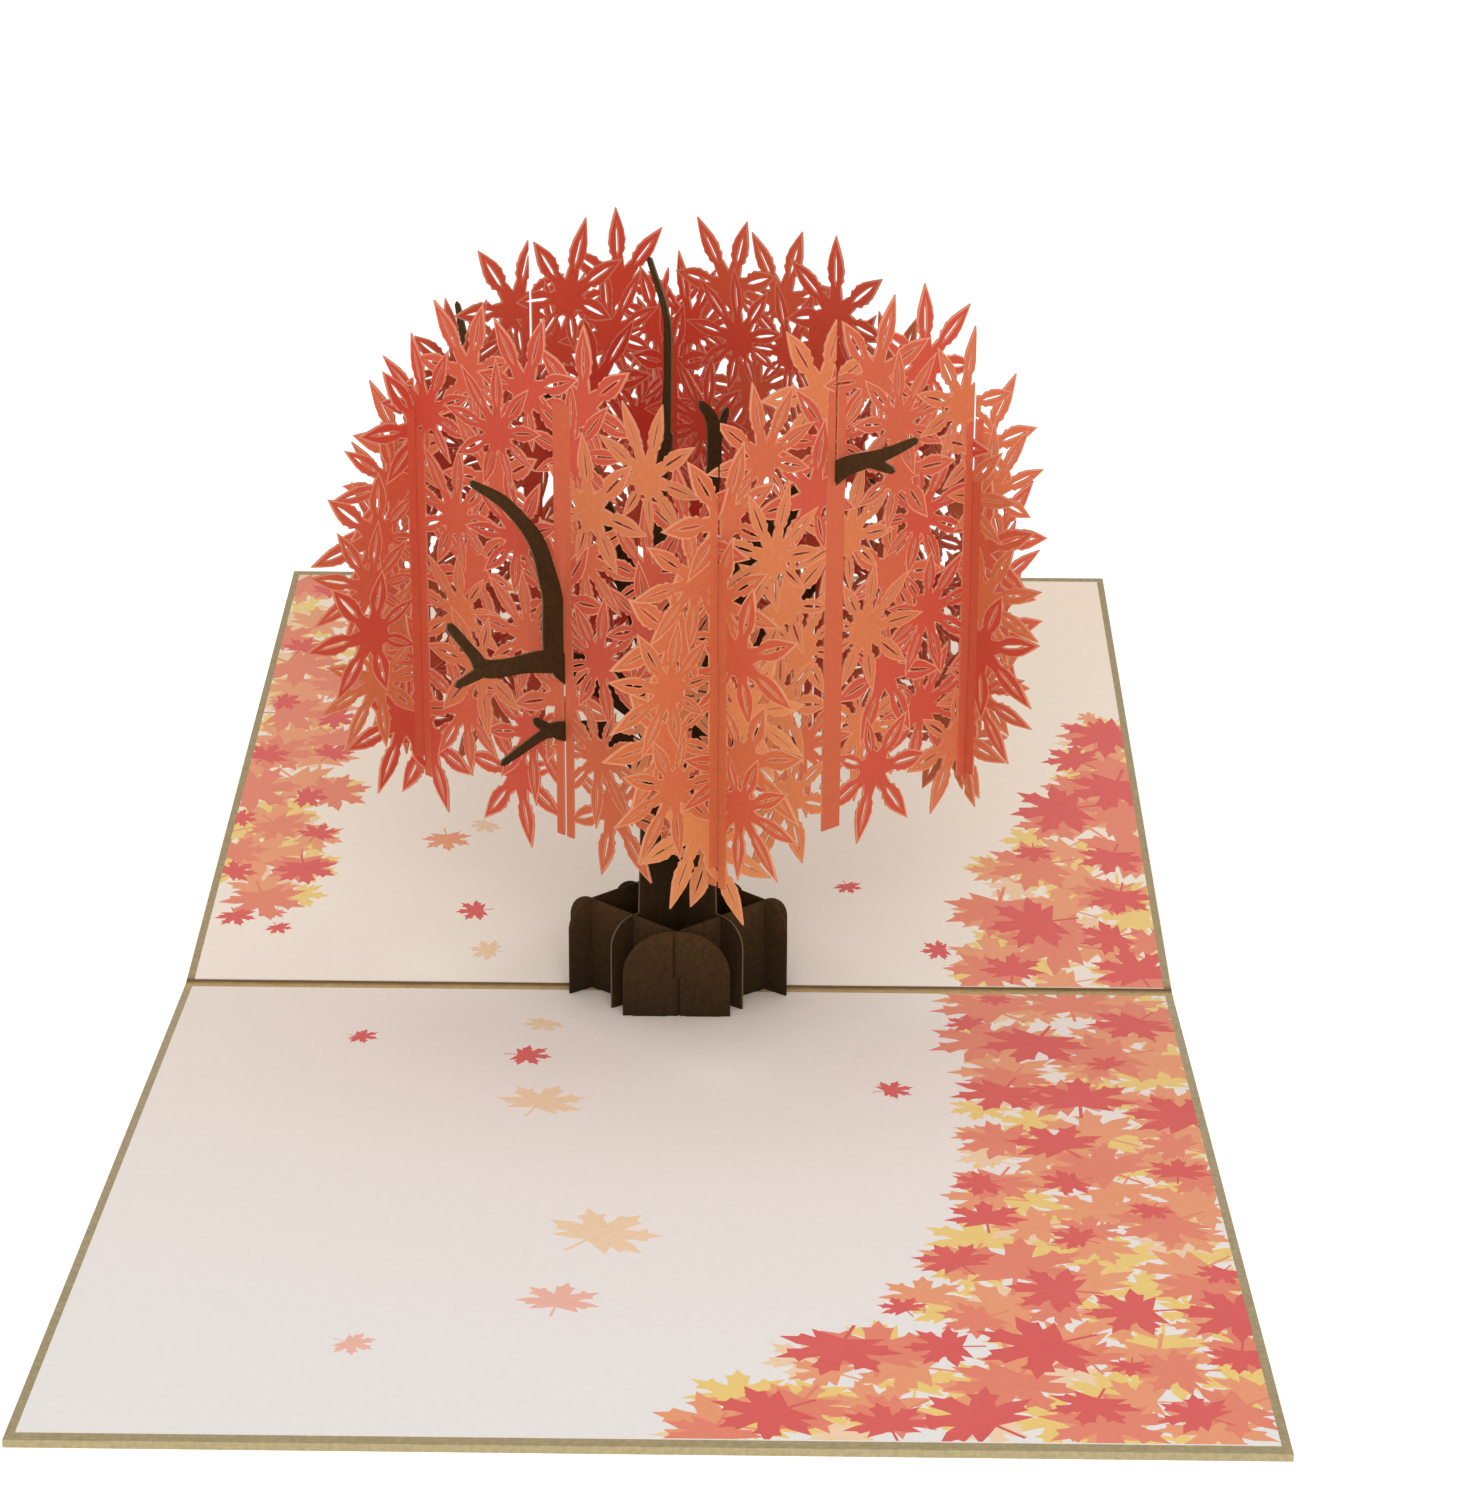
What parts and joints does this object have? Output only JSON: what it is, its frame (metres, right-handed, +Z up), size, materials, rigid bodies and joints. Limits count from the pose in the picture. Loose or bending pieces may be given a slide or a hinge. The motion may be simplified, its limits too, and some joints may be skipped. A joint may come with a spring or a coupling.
{
  "type": "pop up card",
  "caption": "Open greeting card with a standing tree of slotted card sheets: a planter box, a branching trunk and a crown of cut leaf lattices over two printed pages.",
  "frame": {"origin": "outside of the fold at the middle of the card's width, on the table, under the middle of the open card", "axes": "+X along the fold to the right, +Y from the fold over the back page away from the reader, +Z up from the table"},
  "size_m": [0.15, 0.2977, 0.1168],
  "materials": {
    "cover_card": "matt kraft card with a gold tint",
    "liner_paper": "smooth printed paper, pale peach with leaves",
    "bark_card": "matt dark brown card with paler cut edges",
    "leaf_card": "matt card printed from deep red above to orange below, with pale cut edges"
  },
  "bodies": {
    "root": {"cover": "cover_card", "back_liner": "liner_paper", "front_liner": "liner_paper", "planter_front_left": "bark_card", "planter_front_right": "bark_card", "planter_back_left": "bark_card", "planter_back_right": "bark_card", "trunk_sheet_a": "bark_card", "trunk_sheet_b": "bark_card", "foliage_front_left": "leaf_card", "foliage_front_right": "leaf_card", "foliage_back_left": "leaf_card", "foliage_back_right": "leaf_card"}
  },
  "joints": []
}
